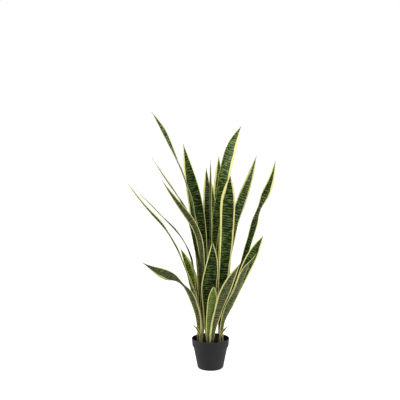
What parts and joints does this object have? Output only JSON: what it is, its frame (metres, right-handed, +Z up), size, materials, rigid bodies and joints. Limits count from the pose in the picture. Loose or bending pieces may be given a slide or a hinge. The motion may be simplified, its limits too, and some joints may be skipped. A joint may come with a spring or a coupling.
{
  "type": "potted variegated snake plant",
  "caption": "Tall upright houseplant of stiff, pointed, cross-banded leaves with pale yellow margins, rising and arching from a round tapered nursery pot filled with soil.",
  "frame": {"origin": "centre of the flat underside of the pot, in the plane that the pot stands on", "axes": "+Z up from the pot's underside to the leaf tips; -Y towards the side that the plant is looked at from; +X to the right as seen from that side, across the plant's broad spread"},
  "size_m": [0.6473, 0.3565, 1.1555],
  "materials": {
    "pot_plastic": "smooth charcoal black moulded plastic, satin",
    "soil": "dark crumbly potting soil, dull",
    "leaf": "waxy semi-gloss leaf, dark green with lighter cross bands and pale yellow margins"
  },
  "bodies": {
    "root": {"pot": "pot_plastic", "soil": "soil", "leaf_left_01": "leaf", "leaf_left_02": "leaf", "leaf_left_03": "leaf", "leaf_left_04": "leaf", "leaf_left_05": "leaf", "leaf_left_06": "leaf", "leaf_left_07": "leaf", "leaf_left_08": "leaf", "leaf_left_09": "leaf", "leaf_centre_01": "leaf", "leaf_centre_02": "leaf", "leaf_centre_03": "leaf", "leaf_centre_04": "leaf", "leaf_centre_05": "leaf", "leaf_centre_06": "leaf", "leaf_centre_07": "leaf", "leaf_centre_08": "leaf", "leaf_right_01": "leaf", "leaf_right_02": "leaf", "leaf_right_03": "leaf", "leaf_right_04": "leaf", "leaf_right_05": "leaf", "leaf_right_06": "leaf"}
  },
  "joints": []
}
